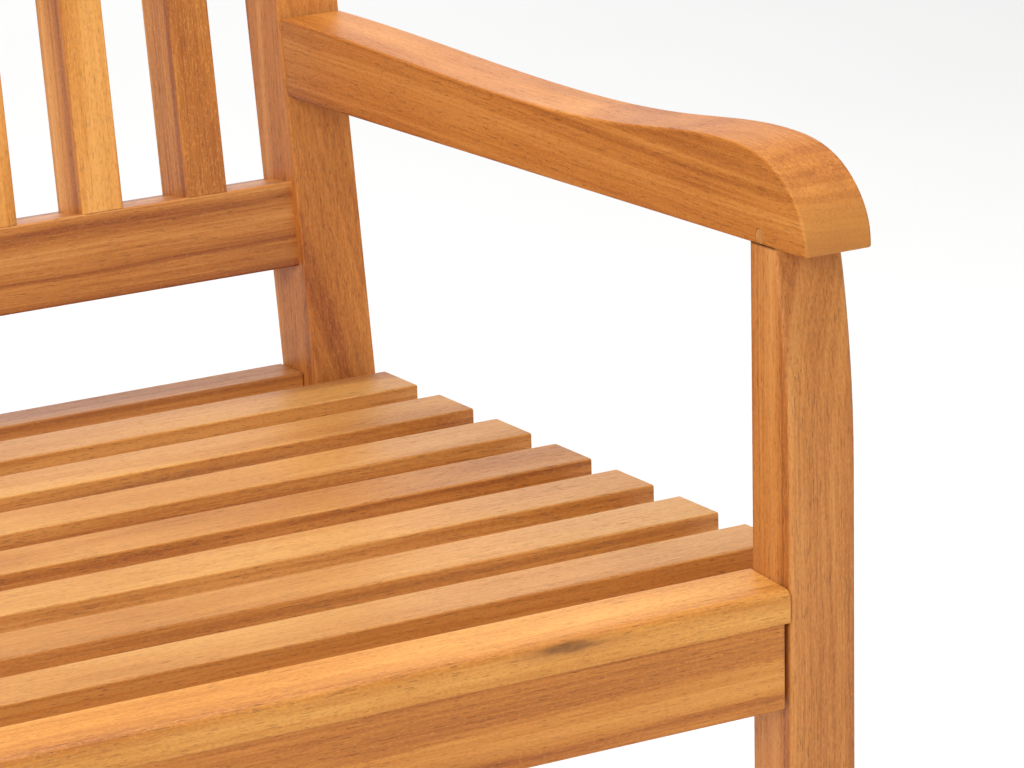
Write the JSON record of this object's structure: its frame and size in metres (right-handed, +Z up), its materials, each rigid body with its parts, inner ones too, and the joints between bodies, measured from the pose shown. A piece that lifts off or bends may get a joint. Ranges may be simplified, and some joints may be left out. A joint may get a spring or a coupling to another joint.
{
  "type": "garden bench",
  "caption": "Slatted hardwood garden bench with curved arms, an upright-slatted leaning back and a seat of spaced slats on aprons, standing on plain square legs.",
  "frame": {"origin": "on the floor, midway along the bench and midway between its foremost and rearmost points", "axes": "+X runs along the bench to the sitter's left, +Y from the front to the back, +Z up"},
  "size_m": [1.192, 0.6144, 0.8998],
  "materials": {
    "frame_wood": "sanded, lightly oiled hardwood",
    "seat_slat_wood": "sanded, lightly oiled hardwood",
    "back_slat_wood": "sanded, lightly oiled hardwood",
    "plug_wood": "sanded, lightly oiled hardwood plug",
    "dowel_wood": "raw beech dowel",
    "steel": "plain stainless steel"
  },
  "bodies": {
    "root": {"arm_left": "frame_wood", "arm_plugs": "plug_wood", "arm_right": "frame_wood", "back_bottom_rail": "frame_wood", "back_post_left": "frame_wood", "back_post_right": "frame_wood", "back_slat_1": "back_slat_wood", "back_slat_10": "back_slat_wood", "back_slat_11": "back_slat_wood", "back_slat_12": "back_slat_wood", "back_slat_13": "back_slat_wood", "back_slat_14": "back_slat_wood", "back_slat_15": "back_slat_wood", "back_slat_16": "back_slat_wood", "back_slat_2": "back_slat_wood", "back_slat_3": "back_slat_wood", "back_slat_4": "back_slat_wood", "back_slat_5": "back_slat_wood", "back_slat_6": "back_slat_wood", "back_slat_7": "back_slat_wood", "back_slat_8": "back_slat_wood", "back_slat_9": "back_slat_wood", "back_top_rail": "frame_wood", "centre_bearer": "frame_wood", "front_apron": "frame_wood", "front_apron_bolts": "steel", "front_apron_dowels": "dowel_wood", "front_barrel_nuts": "steel", "front_leg_left": "frame_wood", "front_leg_right": "frame_wood", "front_seat_slat": "seat_slat_wood", "front_slat_screws": "steel", "rear_apron": "frame_wood", "rear_apron_bolts": "steel", "rear_apron_dowels": "dowel_wood", "rear_barrel_nuts": "steel", "rear_seat_slat": "seat_slat_wood", "rear_slat_screws": "steel", "seat_rail_left": "frame_wood", "seat_rail_right": "frame_wood", "seat_slat_1": "seat_slat_wood", "seat_slat_2": "seat_slat_wood", "seat_slat_3": "seat_slat_wood", "seat_slat_4": "seat_slat_wood", "seat_slat_5": "seat_slat_wood", "seat_slat_6": "seat_slat_wood", "seat_slat_7": "seat_slat_wood", "seat_slat_screws": "steel"}
  },
  "joints": []
}
